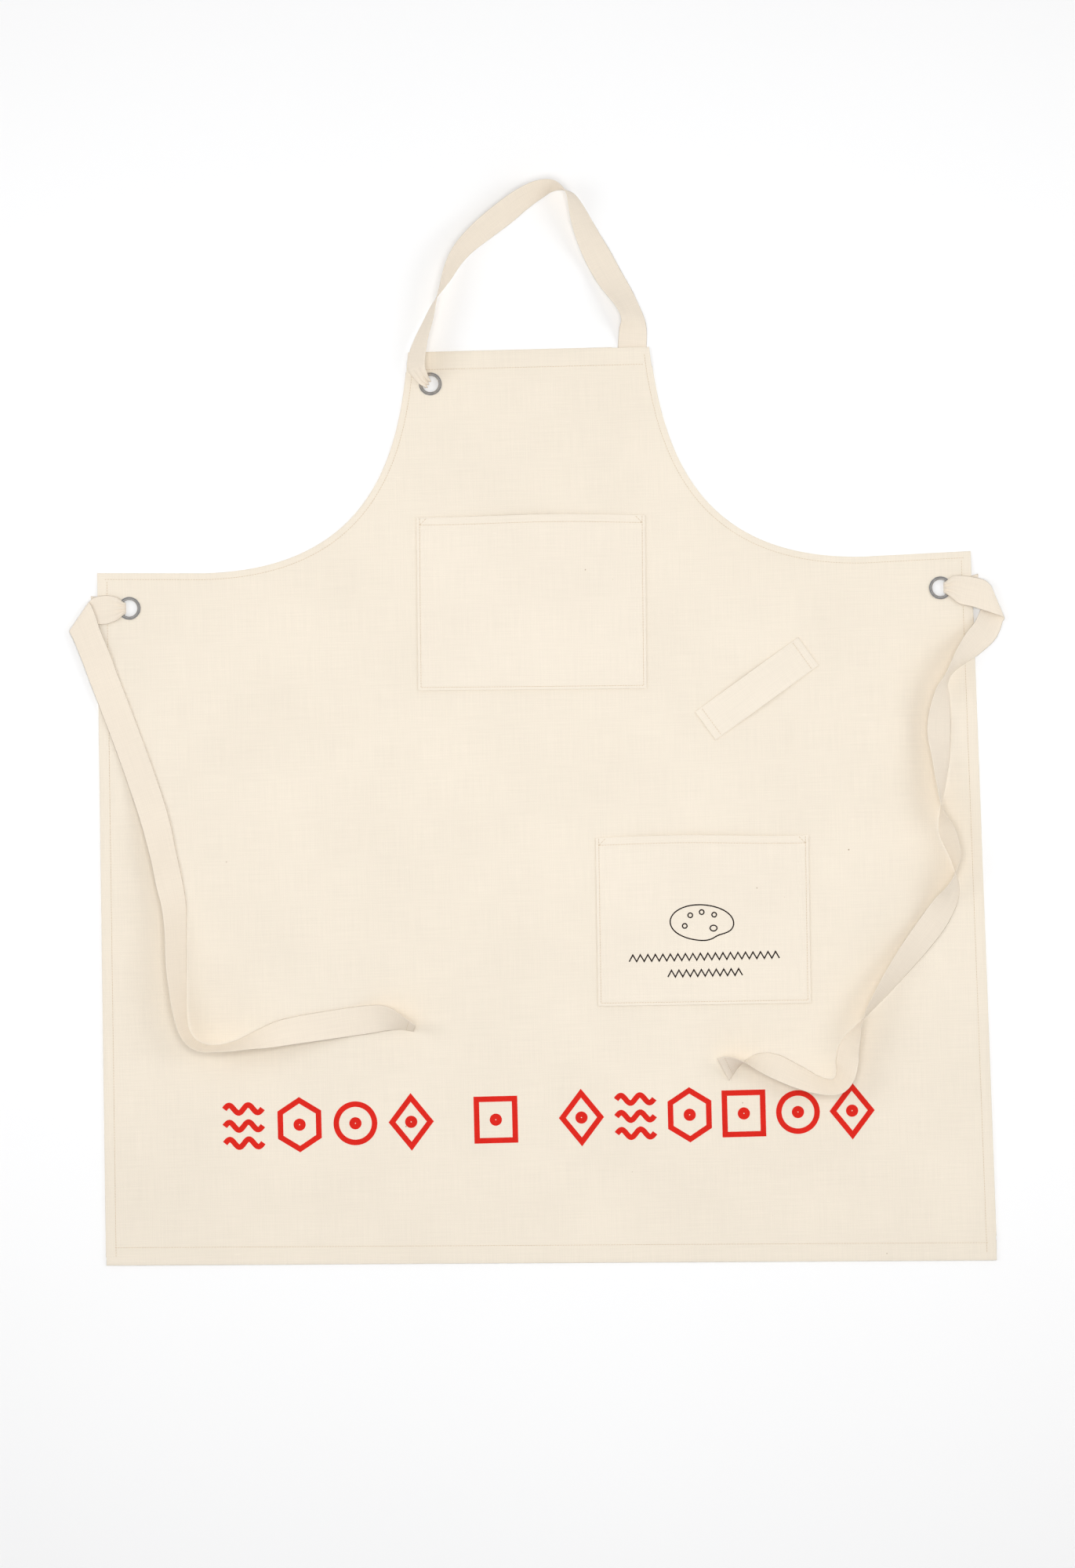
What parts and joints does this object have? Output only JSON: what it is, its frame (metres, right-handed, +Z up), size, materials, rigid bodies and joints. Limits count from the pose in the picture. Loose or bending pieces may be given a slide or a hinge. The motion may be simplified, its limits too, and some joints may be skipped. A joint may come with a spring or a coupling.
{
  "type": "bib apron",
  "caption": "Canvas bib apron laid flat, with patch pockets, a slanted tool loop, metal eyelets, a neck strap and waist ties.",
  "frame": {"origin": "on the table, under the middle of the canvas panel's outline", "axes": "+Z up out of the apron's front, +Y towards the bib, +X to the right as seen from above"},
  "size_m": [0.9769, 1.1362, 0.0334],
  "materials": {
    "body_canvas": "natural cotton canvas, matt, with fine slubs and seed flecks",
    "hem_canvas": "natural cotton canvas, turned edge with stitching",
    "pocket_canvas": "natural cotton canvas, matt, stitched",
    "tape": "natural cotton twill tape, matt",
    "nickel_grommet": "polished nickel plate",
    "nickel_washer": "nickel plate",
    "red_ink": "matt screen print on the canvas",
    "black_ink": "matt screen print on the canvas"
  },
  "bodies": {
    "root": {"canvas_panel": "body_canvas", "bib_top_hem": "hem_canvas", "bottom_hem": "hem_canvas", "left_side_hem": "hem_canvas", "right_side_hem": "hem_canvas", "left_armhole_facing": "hem_canvas", "right_armhole_facing": "hem_canvas", "chest_pocket": "pocket_canvas", "lower_pocket": "pocket_canvas", "tool_loop": "pocket_canvas", "neck_grommet": "nickel_grommet", "neck_washer": "nickel_washer", "left_grommet": "nickel_grommet", "left_washer": "nickel_washer", "right_grommet": "nickel_grommet", "right_washer": "nickel_washer", "neck_strap": "tape", "left_tie": "tape", "right_tie": "tape"}
  },
  "joints": []
}
